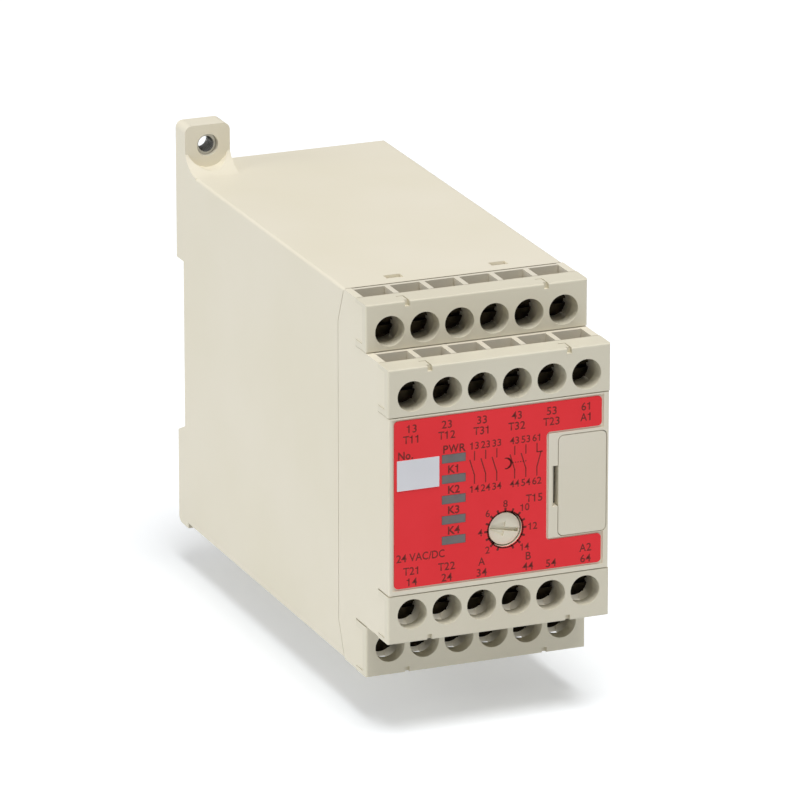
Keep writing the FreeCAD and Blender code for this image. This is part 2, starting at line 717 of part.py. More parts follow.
def spigot(body):
    """Two lips that enter the case and line the halves up."""
    for side, name in ((-1, "left"), (1, "right")):
        outer = side * (inner_x - d.contact_gap)
        inner = side * (inner_x - d.contact_gap - d.lip_thickness)
        root = side * (inner_x + 0.5)
        lip = [(inner, parting_side - d.lip_length), (root, parting_side - d.lip_length),
               (root, parting_side - d.seam), (outer, parting_side - d.seam),
               (outer, parting_side + d.lip_length), (inner, parting_side + d.lip_length)]
        reach = half_height - d.parting_slant_height - 1
        pad(body, name + "_lip", "top", [lip], -reach, reach)


def latches(body):
    """Tongues under the case's top and bottom walls, each with a tooth in a latch window."""
    root = front + d.step_depth * 2 + d.web - 0.5
    under = inner_z - 2 * d.contact_gap
    tooth_front = parting + d.latch_setback + 2 * d.contact_gap
    tooth_end = tooth_front + d.latch_length - 4 * d.contact_gap
    for up, name in ((1, "upper"), (-1, "lower")):
        flush = half_height - d.edge_radius
        tongue = [(root, up * (under - d.latch_tongue)), (tooth_end + 1, up * (under - d.latch_tongue)),
                  (tooth_end, up * under), (tooth_end, up * flush), (tooth_front, up * flush),
                  (tooth_front, up * under), (root, up * under)]
        for side, hand in ((-1, "left"), (1, "right")):
            middle = side * d.latch_offset
            half = d.latch_width / 2 - 2 * d.contact_gap
            pad(body, f"{name}_{hand}_latch", "side", [tongue], middle - half, middle + half)


def label_outline(grow):
    """The face label is C-shaped: it leaves the connector cover free."""
    left, right = -label_left - grow, label_right + grow
    low, high = panel_bottom + d.label_bottom_gap - grow, panel_top - d.label_top_gap + grow
    inner = door_left - d.label_cutout_gap + grow
    gap_low, gap_high = -d.label_cutout_bottom + grow, d.label_cutout_top - grow
    return [(left, low), (right, low), (right, gap_low), (inner, gap_low),
            (inner, gap_high), (right, gap_high), (right, high), (left, high)]


def lamp_windows(shrink):
    windows = []
    for lamp in range(int(d.lamps.value)):
        middle = d.lamp_top - d.lamp_pitch * lamp
        windows.append(rect(-lamp_left + shrink, -lamp_left + d.lamp_width - shrink,
                            middle - d.lamp_height / 2 + shrink, middle + d.lamp_height / 2 - shrink))
    return windows


def panel(body):
    """Label seat, lamp windows, dial hole, connector window and its rebate, and board bosses."""
    cut(body, "label_seat", "front", [label_outline(d.label_margin)], front, front + d.label_recess)
    rear = front + d.panel_wall
    cut(body, "lamp_windows", "front", lamp_windows(as_size(0)), front, rear)
    cut(body, "dial_hole", "front", [circle(d.dial_x, -d.dial_z, d.dial_radius + d.dial_gap)], front, rear)
    gap = d.door_clearance
    seat = rect(door_left - gap, door_right + gap, -d.door_bottom - gap, d.door_top + gap)
    cut(body, "door_seat", "front", [seat], front, front + d.door_thickness + d.contact_gap)
    fillet(body, "door_seat_corners", d.door_radius + gap, "y",
           lambda at: any(near(at.x, u) and near(at.z, v) for u, v in seat))
    edge = d.door_rebate
    window = rect(door_left + edge, door_right - edge, -d.door_bottom + edge, d.door_top - edge)
    cut(body, "connector_window", "front", [window], front, rear)
    pry_left = door_left - d.pry_width
    pry = [(pry_left, front - 1), (pry_left, front), (pry_left + d.pry_bevel, front + d.pry_bevel),
           (pry_left + d.pry_bevel, rear + 1), (door_left, rear + 1), (door_left, front - 1)]
    cut(body, "pry_slot", "top", [pry], -d.pry_bottom, d.pry_top)
    reach_x, low, high = boss_places()
    bosses = [circle(side * reach_x, z, d.boss_radius) for side in (-1, 1) for z in (low, high)]
    pad(body, "board_bosses", "front", bosses, rear - 0.5, front_board_y)


def boss_places():
    inset = d.boss_radius * 1.5
    return inner_x - inset, panel_bottom + d.web + inset, panel_top - d.web - inset


# ---------------------------------------------------------------- terminal rows


def terminal_cover(row):
    """Finger guard of one row, drawn with its front face at y = 0 and its outer edge at z = 0."""
    body = new_body("terminal_cover_" + row.name)
    half = half_width + d.cover_proud
    bottom = -row.height + d.seam
    pad(body, "plate", "front", [rect(-half, half, bottom, 0)], 0, d.cover_plate)
    pad(body, "strip", "front", [rect(-half, half, -d.strip_thickness, 0)], 0, d.strip_depth)
    arms = []
    for side in (-1, 1):
        arms.append(rect(side * (half_width - d.arm_thickness), side * half, bottom, bottom + d.arm_height))
    pad(body, "arms", "front", arms, 0, d.strip_depth)
    collar = rect(-seat_x + d.contact_gap, seat_x - d.contact_gap,
                  -d.axis_drop - floor_drop + d.contact_gap, 0)
    pad(body, "collar", "front", [collar], 0, d.collar_depth)
    fillet(body, "front_edges", d.cover_radius, "xz",
           lambda at: near(at.y, 0) and (near(at.z, 0) or near(abs(at.x), half)))
    hole = cut(body, "driver_hole", "front", [circle(first_pole, -d.axis_drop, driver_hole_radius)],
               -1, d.collar_depth + 1)
    pole_row(body, "driver_holes", hole)
    for side, name in ((-1, "left"), (1, "right")):
        release_notch(body, name, side * pole_pitch * 2)
    place_row(body, row)


def release_notch(body, name, middle):
    """A small notch in the front edge with an L-shaped slit behind it, which frees a snap tongue."""
    half = d.notch_width / 2
    cut(body, name + "_notch", "front", [rect(middle - half, middle + half, -d.notch_height, 1)],
        -1, d.notch_depth)
    stem = middle + half - d.slit_width
    slit = [(stem, d.notch_depth - 0.1), (stem + d.slit_width, d.notch_depth - 0.1),
            (stem + d.slit_width, d.slit_reach), (middle - half - d.slit_cross + d.notch_width, d.slit_reach),
            (middle - half - d.slit_cross + d.notch_width, d.slit_reach - d.slit_width),
            (stem, d.slit_reach - d.slit_width)]
    cut(body, name + "_slit", "top", [slit], -d.strip_thickness / 2, 1)


def terminal_block(row):
    """Comb that parts the six terminals, drawn in the same frame as the cover."""
    body = new_body("terminal_block_" + row.name)
    half = seat_x - d.contact_gap
    floor = -d.axis_drop - floor_drop
    shell = [(d.cover_plate + d.seam + d.contact_gap, -row.height + d.contact_gap),
             (d.step_depth - d.contact_gap, -row.height + d.contact_gap),
             (d.step_depth - d.contact_gap, 0), (d.pocket_depth, 0), (d.pocket_depth, floor),
             (d.cover_plate + d.seam + d.contact_gap, floor)]
    pad(body, "shell", "side", [shell], -half, half)
    wall = [(d.collar_depth + d.contact_gap, floor - 0.2), (d.pocket_depth + 0.2, floor - 0.2),
            (d.pocket_depth + 0.2, 0), (d.strip_depth + d.seam, 0),
            (d.strip_depth + d.seam, -d.strip_thickness - d.contact_gap),
            (d.collar_depth + d.contact_gap, -d.strip_thickness - d.contact_gap)]
    for gap in range(int(d.poles.value) - 1):
        middle = first_pole + pole_pitch * (gap + 0.5)
        pad(body, f"partition_{gap + 1}", "side", [wall], middle - d.divider / 2, middle + d.divider / 2)
    tail_low = tail_level() - d.tail_thickness / 2 - 2 * d.contact_gap
    half_slot = d.thread_radius + 2 * d.screw_clearance
    slot = rect(first_pole - half_slot, first_pole + half_slot, tail_low, -d.axis_drop + half_slot)
    opening = cut(body, "terminal_opening", "front", [slot], d.pocket_depth - 0.2, d.step_depth + 1)
    pole_row(body, "terminal_openings", opening)
    place_row(body, row)


def tail_level():
    return -d.axis_drop - floor_drop + d.tail_thickness / 2 + 4 * d.contact_gap


def pole_copies(template, label, row):
    """The row's six copies of one small piece, as links to the piece that is drawn once."""
    copies = []
    for pole in range(int(d.poles.value)):
        link = doc.addObject("App::Link", f"{label}_{pole + 1}")
        link.LinkedObject = template
        if not row.up:
            link.Placement.Rotation = FreeCAD.Rotation(FreeCAD.Vector(0, 1, 0), 180)
        link.setExpression("Placement.Base.x", (first_pole + pole_pitch * pole).text)
        link.setExpression("Placement.Base.y", row.face.text)
        link.setExpression("Placement.Base.z", row.edge.text)
        copies.append(link)
    return group(label, copies)


def screw_template():
    """Slotted screw with its captive square clamp plate."""
    head_rear = d.head_setback + d.head_height
    head = rod("screw_head", 0, (d.head_setback, head_rear), -d.axis_drop, head_radius)
    thread_span = (head_rear - 0.5, head_rear + d.thread_reach)
    thread = rod("screw_thread", 0, thread_span, -d.axis_drop, d.thread_radius)
    half = clamp_side / 2
    clamp = box("clamp_plate", (-half, half), (head_rear - 0.1, head_rear + d.clamp_thickness),
                (-d.axis_drop - half, -d.axis_drop + half))
    slot = box("screw_slot_tool", (-head_radius - 1, head_radius + 1),
               (d.head_setback - 1, d.head_setback + d.screw_slot_depth),
               (-d.axis_drop - d.screw_slot / 2, -d.axis_drop + d.screw_slot / 2))
    blank = combine("Fuse", "screw_blank", combine("Fuse", "screw_and_clamp", head, clamp), thread)
    return combine("Cut", "terminal_screw", blank, slot)


def lug_template(name, reach):
    """Terminal plate against the rear of the chamber, with its solder tail."""
    rear = d.pocket_depth - d.contact_gap
    top = -d.axis_drop + d.lug_height / 2
    low = tail_level() - d.tail_thickness / 2
    half, tail = lug_width / 2, d.tail_width / 2
    plate = box(name + "_plate", (-half, half), (rear - d.lug_thickness, rear), (low, top))
    leg = box(name + "_leg", (-tail, tail), (rear - d.lug_thickness, reach), (low, low + d.tail_thickness))
    hole = rod(name + "_hole", 0, (rear - d.lug_thickness - 1, rear + 1), -d.axis_drop,
               d.thread_radius + d.screw_clearance)
    return combine("Cut", name, combine("Fuse", name + "_blank", plate, leg), hole)


def terminal_rows():
    screw = screw_template()
    board = terminal_board_y - d.contact_gap - front
    lugs = {"row_2": lug_template("long_lug", board)}
    lugs["row_1"] = lug_template("short_lug", board - d.step_depth)
    lugs["row_3"], lugs["row_4"] = lugs["row_2"], lugs["row_1"]
    for row in ROWS:
        terminal_cover(row)
        terminal_block(row)
        pole_copies(screw, "terminal_screws_" + row.name, row)
        pole_copies(lugs[row.name], "terminal_lugs_" + row.name, row)


def web_slots(body):
    """Slots through the terrace for the solder tails, and relief for the screw ends."""
    for row in ROWS:
        level = toward(row, -tail_level())
        half_w = d.tail_width / 2 + 2 * d.contact_gap
        half_t = d.tail_thickness / 2 + 2 * d.contact_gap
        slot = rect(first_pole - half_w, first_pole + half_w, level - half_t, level + half_t)
        rear = row.face + d.step_depth
        feature = cut(body, row.name + "_tail_slot", "front", [slot], rear - 0.2, rear + d.web + 0.2)
        pole_row(body, row.name + "_tail_slots", feature)


# ---------------------------------------------------------------- panel pieces


def face_label():
    body = new_body("face_label")
    low = front + d.label_recess - d.label_thickness
    pad(body, "film", "front", [label_outline(as_size(0))], low, front + d.label_recess)
    fillet(body, "film_corners", d.label_radius, "y", lambda at: True)
    cut(body, "film_windows", "front", lamp_windows(as_size(0)), low - 1, front + 1)
    cut(body, "film_dial_hole", "front", [circle(d.dial_x, -d.dial_z, d.dial_radius + d.dial_gap)],
        low - 1, front + 1)


def marking_label():
    high = front + d.label_recess - d.label_thickness
    tag = box("marking_label", (-tag_left, -tag_left + d.tag_width), (high - d.tag_thickness, high),
              (d.tag_bottom, d.tag_bottom + d.tag_height))
    keep(tag, "marking_label")


def light_guide():
    body = new_body("light_guide")
    face = front + d.label_recess - d.label_thickness
    rear = front + d.guide_rear
    pad(body, "lenses", "front", lamp_windows(d.contact_gap), face, rear)
    half = d.lamp_height / 2
    low = d.lamp_top - d.lamp_pitch * (d.lamps - 1) - half
    bar = rect(-lamp_left, -lamp_left + d.lamp_width, low, d.lamp_top + half)
    pad(body, "bar", "front", [bar], rear - d.guide_bar, rear)


def indicator_leds():
    leds = []
    middle = -lamp_left + d.lamp_width / 2
    for lamp in range(int(d.lamps.value)):
        z = d.lamp_top - d.lamp_pitch * lamp
        leds.append(box(f"led_{lamp + 1}", (middle - 1.6, middle + 1.6),
                        (front_board_y - d.led_height, front_board_y), (z - 0.8, z + 0.8)))
    group("indicator_leds", leds)


def timer_dial():
    """Recessed dial with a driver slot and an arrow head, turned up from -X at rest by dial_rest."""
    body = new_body("timer_dial")
    face = front + d.dial_setback
    rear = face + d.dial_height
    pad(body, "disc", "front", [circle(d.dial_x, -d.dial_z, d.dial_radius)], face, rear)
    pad(body, "shaft", "front", [circle(d.dial_x, -d.dial_z, d.dial_shaft_radius)], face,
        rear + d.dial_shaft_length)
    half, side = d.dial_slot_length / 2, d.dial_slot_width / 2
    cut(body, "driver_slot", "front", [on_dial(rect(-half, half, -side, side))], face,
        face + d.dial_slot_depth)
    for up, name in ((1, "upper"), (-1, "lower")):
        barb = [(-half, up * side), (d.arrow_length - half, up * side),
                (d.arrow_length - half, up * d.arrow_width / 2)]
        cut(body, name + "_barb", "front", [on_dial(barb)], face, face + d.arrow_depth)
    return body


def on_dial(outline):
    """An outline drawn about the dial's axis, turned to the dial's rest angle and put in place."""
    turn = math.radians(d.dial_rest.value)
    cosine, sine = Size(math.cos(turn), "cos(Sizes.dial_rest)"), Size(math.sin(turn), "sin(Sizes.dial_rest)")
    return [(d.dial_x + u * cosine + v * sine, v * cosine - u * sine - d.dial_z)
            for u, v in ((as_size(u), as_size(v)) for u, v in outline)]


def timer_switch_body():
    dial_rear = front + d.dial_setback + d.dial_height
    low = dial_rear + d.dial_gap
    half = d.switch_side / 2
    block = box("switch_block", (d.dial_x - half, d.dial_x + half), (low, front_board_y),
                (-d.dial_z - half, -d.dial_z + half))
    bore_end = dial_rear + d.dial_shaft_length + 2 * d.dial_gap
    bore = rod("switch_bore", d.dial_x, (low - 1, bore_end), -d.dial_z, d.dial_shaft_radius + d.running_fit)
    keep(combine("Cut", "timer_switch_body", block, bore), "timer_switch_body")


def connector_cover():
    body = new_body("connector_cover")
    plate = rect(door_left, door_right, -d.door_bottom, d.door_top)
    pad(body, "cover_plate", "front", [plate], front, front + d.door_thickness)
    fillet(body, "cover_corners", d.door_radius, "y", lambda at: True)
    edge = d.door_rebate + 3 * d.contact_gap
    hooks = []
    for outer, inward in ((-d.door_bottom + edge, 1), (d.door_top - edge, -1)):
        hooks.append(rect(door_left + 3, door_right - 3, outer, outer + inward * 0.9))
    pad(body, "snap_hooks", "front", hooks, front + 0.5, front + d.door_hook)


def expansion_connector():
    """Receptacle on the front board, seen when the cover is off."""
    body = new_body("expansion_connector")
    edge = d.door_rebate + 1.3
    face = front + d.socket_setback
    block = rect(door_left + edge, door_right - edge, -d.door_bottom + edge, d.door_top - edge)
    pad(body, "socket", "front", [block], face, front_board_y - d.contact_gap)
    middle_x = (door_left + door_right) / 2
    low = (d.door_top - d.door_bottom) / 2 - d.contact_pitch * (d.contacts - 1) / 2
    half = d.contact_side / 2
    pair = [rect(middle_x + side * d.contact_pitch / 2 - half, middle_x + side * d.contact_pitch / 2 + half,
                 low - half, low + half) for side in (-1, 1)]
    contact = cut(body, "contact", "front", pair, face, face + 2)
    repeat(body, "contact_rows", contact, "V_Axis", d.contact_pitch * (d.contacts - 1), d.contacts)


# ---------------------------------------------------------------- boards and what they carry


def boards():
    gap = 2 * d.contact_gap
    reach = inner_x - gap
    front_plate = box("front_board", (-reach, reach), (front_board_y, front_board_y + d.board),
                      (panel_bottom + d.web + gap, panel_top - d.web - gap))
    keep(front_plate, "front_board")
    side = inner_x - d.lip_thickness - 4 * d.contact_gap
    tall = inner_z - d.latch_tongue - 4 * d.contact_gap
    rear = terminal_board_y + d.board
    keep(box("terminal_board", (-side, side), (terminal_board_y, rear), (-tall, tall)), "terminal_board")
    for hand, name in ((-1, "relay_board"), (1, "control_board")):
        inner, outer = hand * side_board_offset, hand * (side_board_offset + d.board)
        low, high = span(inner, outer)
        edge = inner_z - gap
        keep(box(name, (low, high), (rear + d.dial_gap, -d.rear_thickness - d.dial_gap), (-edge, edge)), name)
    header = box("board_header", (-10, 10), (front_board_y + d.board, terminal_board_y), (-1.5, 1.5))
    keep(header, "board_header")


def relays():
    """Force-guided relays in a stack, standing on the relay board."""
    foot = -side_board_offset
    for number in range(int(d.relays.value)):
        body = new_body(f"safety_relay_{number + 1}")
        low = terminal_board_y + d.board + 6 + d.relay_pitch * number
        half = d.relay_length / 2
        pad(body, "shell", "front", [rect(foot + 0.6, side_board_offset - d.relay_room, -half, half)],
            low, low + d.relay_width)
        fillet(body, "shell_edges", d.edge_radius, "y", lambda at: at.x > 0)
        pad(body, "base", "front", [rect(foot, foot + 3, -half - 0.4, half + 0.4)],
            low - 0.4, low + d.relay_width + 0.4)


def power_parts():
    face = side_board_offset
    start = terminal_board_y + d.board + 6
    for number in (1, 2):
        low = start + (number - 1) * (d.capacitor_length + 4)
        can = rod(f"filter_capacitor_{number}", face - d.capacitor_radius, (low, low + d.capacitor_length),
                  inner_z - d.guide_rib_height - d.capacitor_radius - 1, d.capacitor_radius)
        keep(can, f"filter_capacitor_{number}")
    floor = -inner_z + d.guide_rib_height + 1
    keep(box("power_module", (face - 13, face), (start, start + 34), (floor, floor + 10)), "power_module")
    chips = []
    for number in (0, 1):
        low = start + 18 * number
        chips.append(box(f"processor_{number + 1}", (face - 1.6, face), (low, low + 10), (-5, 5)))
    group("control_processors", chips)


def check_and_write():
    """Stop if any object failed, then write one file for each sub-part."""
    doc.recompute()
    for part in doc.Objects:
        if "Invalid" in part.State or "Error" in part.State:
            raise RuntimeError(f"{part.Name} failed: {part.State}")
    os.makedirs("parts", exist_ok=True)
    for part in made:
        shape = part.Shape
        if shape.isNull() or not shape.isValid() or not shape.Solids:
            raise RuntimeError(f"{part.Label} has no valid solid")
        shape.exportStep(f"parts/{part.Label}.step")
        print(f"{part.Label:28s} {len(shape.Solids):2d} solid(s) {shape.Volume:10.1f} mm3")


case()
din_hook()
din_hook_spring()
mount_inserts()
housing = front_housing()
web_slots(housing)
terminal_rows()
face_label()
marking_label()
light_guide()
indicator_leds()
timer_dial()
timer_switch_body()
connector_cover()
expansion_connector()
boards()
relays()
power_parts()
check_and_write()
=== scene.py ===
import math

import bpy
from mathutils import Matrix, Vector


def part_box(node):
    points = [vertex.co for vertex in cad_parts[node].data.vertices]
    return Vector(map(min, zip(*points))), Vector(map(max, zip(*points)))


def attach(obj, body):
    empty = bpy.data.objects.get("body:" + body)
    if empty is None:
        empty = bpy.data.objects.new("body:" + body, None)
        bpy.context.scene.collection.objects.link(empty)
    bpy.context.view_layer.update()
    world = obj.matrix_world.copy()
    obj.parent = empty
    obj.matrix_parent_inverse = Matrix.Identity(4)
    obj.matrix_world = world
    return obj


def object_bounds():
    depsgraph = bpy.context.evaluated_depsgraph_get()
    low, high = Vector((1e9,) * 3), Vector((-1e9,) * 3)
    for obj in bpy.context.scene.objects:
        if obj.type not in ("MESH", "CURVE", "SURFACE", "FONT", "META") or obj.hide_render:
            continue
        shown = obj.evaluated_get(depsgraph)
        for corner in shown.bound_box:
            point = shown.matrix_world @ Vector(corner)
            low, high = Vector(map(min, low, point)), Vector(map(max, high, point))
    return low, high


bl_info = {
    "name": "Safety Relay",
    "version": (1, 0, 0),
    "blender": (4, 5, 0),
    "location": "3D View > Sidebar > Safety Relay",
    "description": "Dresses a rail-mounted safety relay with its finishes, printing and stage",
    "category": "Object",
}

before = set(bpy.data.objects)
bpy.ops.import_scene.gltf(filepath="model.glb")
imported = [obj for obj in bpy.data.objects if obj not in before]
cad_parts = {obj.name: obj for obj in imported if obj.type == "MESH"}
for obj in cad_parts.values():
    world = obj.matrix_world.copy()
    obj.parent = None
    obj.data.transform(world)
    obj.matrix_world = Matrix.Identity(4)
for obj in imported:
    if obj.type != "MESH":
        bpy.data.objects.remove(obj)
CAD_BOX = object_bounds()

MM = 0.001
# The printing lies just in front of the label's face.
PRINT_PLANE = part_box("face_label")[0].y - 0.01 * MM
# Height of a capital as a share of the font's size.
CAPITAL = 0.682
# How far a letter's outline is pushed out, as a share of its height.
BOLDER = 0.012
CAPTION_BOLDER = 0.028
# Room that a letter takes along its line and how much it is narrowed, as shares of its height and width.
PLAIN_ADVANCE = 0.77
ADVANCE = {"T": 0.8, "A": 0.93, "B": 0.93, "P": 0.93, "W": 1.3, "R": 1.0, "K": 0.95, "V": 0.93,
           "C": 1.0, "D": 1.0, "N": 1.0, "o": 0.78, ".": 0.39, "/": 0.42, " ": 0.39}
NARROWER = {"W": 0.84, "A": 0.88, "C": 0.84, "D": 0.86, "V": 0.92, "N": 0.9, "o": 0.88, "T": 0.94}


# ------------------------------------------------------------------ small helpers


def linear(hex_colour):
    """sRGB hex to the linear colour that the shader takes."""
    channels = [int(hex_colour[i:i + 2], 16) / 255 for i in (1, 3, 5)]
    return [c / 12.92 if c <= 0.04045 else ((c + 0.055) / 1.055) ** 2.4 for c in channels] + [1.0]


def deselect_all():
    bpy.ops.object.select_all(action="DESELECT")


def take_active(name):
    """Names the piece that an operator has just made, and its data."""
    piece = bpy.context.view_layer.objects.active
    piece.name = name
    piece.data.name = name
    return piece


def settle(piece):
    """Puts the piece's place into its mesh, so its object sits at the origin."""
    piece.data.transform(piece.matrix_world)
    piece.matrix_world = Matrix.Identity(4)
    return piece


def finish_piece(piece, body, material):
    """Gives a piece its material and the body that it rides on."""
    piece.data.materials.clear()
    piece.data.materials.append(material)
    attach(piece, body)
    return piece


def join(pieces, name):
    """Joins pieces into one mesh."""
    deselect_all()
    for piece in pieces:
        piece.select_set(True)
    bpy.context.view_layer.objects.active = pieces[0]
    bpy.ops.object.join()
    return take_active(name)


# ------------------------------------------------------------------ materials


def add_node(tree, kind, settings=None, links=None, **sockets):
    """Adds one shader node with its settings, its socket values and its incoming links."""
    node = tree.nodes.new(kind)
    for key, value in (settings or {}).items():
        setattr(node, key, value)
    for key, value in sockets.items():
        node.inputs[key.replace("_", " ")].default_value = value
    for key, source in (links or {}).items():
        tree.links.new(source, node.inputs[key])
    return node


def new_material(name):
    """An empty material with its main shader joined to the output."""
    material = bpy.data.materials.new(name)
    material.use_nodes = True
    tree = material.node_tree
    tree.nodes.clear()
    shader = add_node(tree, "ShaderNodeBsdfPrincipled")
    output = add_node(tree, "ShaderNodeOutputMaterial")
    tree.links.new(shader.outputs[0], output.inputs["Surface"])
    return material, tree, shader


def two_tone(tree, source, low, high, dark, light):
    """A colour ramp between two close tones of one pigment."""
    ramp = add_node(tree, "ShaderNodeValToRGB", links={"Fac": source})
    ramp.color_ramp.elements[0].position = low
    ramp.color_ramp.elements[0].color = linear(dark)
    ramp.color_ramp.elements[1].position = high
    ramp.color_ramp.elements[1].color = linear(light)
    return ramp.outputs["Color"]


def per_metre(size_mm):
    """Noise scale whose features are about this many millimetres across."""
    return 1.0 / (size_mm * MM)


def moulded_abs(name, dark, light, grain_mm=0.45, grain_depth_mm=0.012, roughness=0.5):
    """Injection-moulded ABS from an eroded mould: a fine even grain softens the highlight, and
    the pigment drifts a little in tone where the melt flowed."""
    material, tree, shader = new_material(name)
    where = add_node(tree, "ShaderNodeTexCoord").outputs["Object"]
    flow = add_node(tree, "ShaderNodeTexNoise", links={"Vector": where}, Scale=per_metre(34.0), Detail=3.0)
    tone = two_tone(tree, flow.outputs["Fac"], 0.3, 0.7, dark, light)
    tree.links.new(tone, shader.inputs["Base Color"])
    grain = add_node(tree, "ShaderNodeTexNoise", links={"Vector": where},
                     Scale=per_metre(grain_mm), Detail=4.0, Roughness=0.6)
    bump = add_node(tree, "ShaderNodeBump", links={"Height": grain.outputs["Fac"]},
                    Strength=0.6, Distance=grain_depth_mm * MM)
    tree.links.new(bump.outputs["Normal"], shader.inputs["Normal"])
    polish = add_node(tree, "ShaderNodeMapRange", links={"Value": grain.outputs["Fac"]})
    polish.inputs["To Min"].default_value = roughness - 0.05
    polish.inputs["To Max"].default_value = roughness + 0.07
    tree.links.new(polish.outputs["Result"], shader.inputs["Roughness"])
    shader.inputs["IOR"].default_value = 1.5
    shader.inputs["Specular IOR Level"].default_value = 0.35
    return material


def printed_film(name, dark, light, weave_mm=0.7, roughness=0.42):
    """Screen-printed polyester film: satin ink with the faint unevenness of the adhesive below."""
    material, tree, shader = new_material(name)
    where = add_node(tree, "ShaderNodeTexCoord").outputs["Object"]
    ink = add_node(tree, "ShaderNodeTexNoise", links={"Vector": where}, Scale=per_metre(11.0), Detail=4.0)
    tone = two_tone(tree, ink.outputs["Fac"], 0.32, 0.68, dark, light)
    tree.links.new(tone, shader.inputs["Base Color"])
    peel = add_node(tree, "ShaderNodeTexNoise", links={"Vector": where},
                    Scale=per_metre(weave_mm), Detail=2.0)
    bump = add_node(tree, "ShaderNodeBump", links={"Height": peel.outputs["Fac"]},
                    Strength=0.35, Distance=0.006 * MM)
    tree.links.new(bump.outputs["Normal"], shader.inputs["Normal"])
    sheen = add_node(tree, "ShaderNodeMapRange", links={"Value": peel.outputs["Fac"]})
    sheen.inputs["To Min"].default_value = roughness - 0.04
    sheen.inputs["To Max"].default_value = roughness + 0.06
    tree.links.new(sheen.outputs["Result"], shader.inputs["Roughness"])
    shader.inputs["Specular IOR Level"].default_value = 0.2
    return material


def printing_ink(name, dark, light):
    """Brown-black ink laid thinly on the film, a little uneven where the screen held less."""
    material, tree, shader = new_material(name)
    where = add_node(tree, "ShaderNodeTexCoord").outputs["Object"]
    cover = add_node(tree, "ShaderNodeTexNoise", links={"Vector": where}, Scale=per_metre(0.6), Detail=3.0)
    tone = two_tone(tree, cover.outputs["Fac"], 0.35, 0.7, dark, light)
    tree.links.new(tone, shader.inputs["Base Color"])
    shader.inputs["Roughness"].default_value = 0.5
    shader.inputs["Specular IOR Level"].default_value = 0.25
    return material


def turned_steel(name, dark, light, line_mm=0.12, roughness=0.36):
    """Turned steel with a thin passivated film: fine machining lines and a warm, patchy film."""
    material, tree, shader = new_material(name)
    where = add_node(tree, "ShaderNodeTexCoord").outputs["Object"]
    film = add_node(tree, "ShaderNodeTexNoise", links={"Vector": where}, Scale=per_metre(1.6), Detail=4.0)
    tone = two_tone(tree, film.outputs["Fac"], 0.3, 0.7, dark, light)
    tree.links.new(tone, shader.inputs["Base Color"])
    lines = add_node(tree, "ShaderNodeTexNoise", links={"Vector": where},
                     Scale=per_metre(line_mm), Detail=3.0)
    bump = add_node(tree, "ShaderNodeBump", links={"Height": lines.outputs["Fac"]},
                    Strength=0.5, Distance=0.01 * MM)
    tree.links.new(bump.outputs["Normal"], shader.inputs["Normal"])
    wear = add_node(tree, "ShaderNodeMapRange", links={"Value": film.outputs["Fac"]})
    wear.inputs["To Min"].default_value = roughness - 0.08
    wear.inputs["To Max"].default_value = roughness + 0.1
    tree.links.new(wear.outputs["Result"], shader.inputs["Roughness"])
    shader.inputs["Metallic"].default_value = 1.0
    return material


def smoked_polycarbonate(name, dark, light):
    """Smoke-grey light guide faces: a smooth moulded face over a darker core."""
    material, tree, shader = new_material(name)
    where = add_node(tree, "ShaderNodeTexCoord").outputs["Object"]
    core = add_node(tree, "ShaderNodeTexNoise", links={"Vector": where}, Scale=per_metre(2.2), Detail=2.0)
    tone = two_tone(tree, core.outputs["Fac"], 0.3, 0.7, dark, light)
    tree.links.new(tone, shader.inputs["Base Color"])
    shader.inputs["Roughness"].default_value = 0.28
    shader.inputs["IOR"].default_value = 1.58
    return material


def fibreglass_board(name, dark, light):
    """Green solder mask over woven glass: the weave shows as a faint grid, drawn at 1.2 mm."""
    material, tree, shader = new_material(name)
    where = add_node(tree, "ShaderNodeTexCoord").outputs["Object"]
    weave = add_node(tree, "ShaderNodeTexChecker", links={"Vector": where}, Scale=per_metre(1.2))
    weave.inputs["Color1"].default_value = linear(dark)
    weave.inputs["Color2"].default_value = linear(light)
    tree.links.new(weave.outputs["Color"], shader.inputs["Base Color"])
    shader.inputs["Roughness"].default_value = 0.3
    return material


def studio_floor(name, shade, lift=0.33):
    """Seamless paper: pale diffuse paper that the camera sees a little lifted, so its shadow stays."""
    material = bpy.data.materials.new(name)
    material.use_nodes = True
    tree = material.node_tree
    tree.nodes.clear()
    paper = add_node(tree, "ShaderNodeBsdfDiffuse", Color=linear(shade))
    rays = add_node(tree, "ShaderNodeLightPath")
    seen = add_node(tree, "ShaderNodeMath", {"operation": "MAXIMUM"},
                    {0: rays.outputs["Is Camera Ray"], 1: rays.outputs["Is Glossy Ray"]})
    lifted = add_node(tree, "ShaderNodeMath", {"operation": "MULTIPLY"}, {0: seen.outputs[0]})
    lifted.inputs[1].default_value = lift
    glow = add_node(tree, "ShaderNodeEmission", links={"Strength": lifted.outputs[0]})
    both = add_node(tree, "ShaderNodeAddShader", links={0: paper.outputs[0], 1: glow.outputs[0]})
    add_node(tree, "ShaderNodeOutputMaterial", links={"Surface": both.outputs[0]})
    return material


# ------------------------------------------------------------------ settings


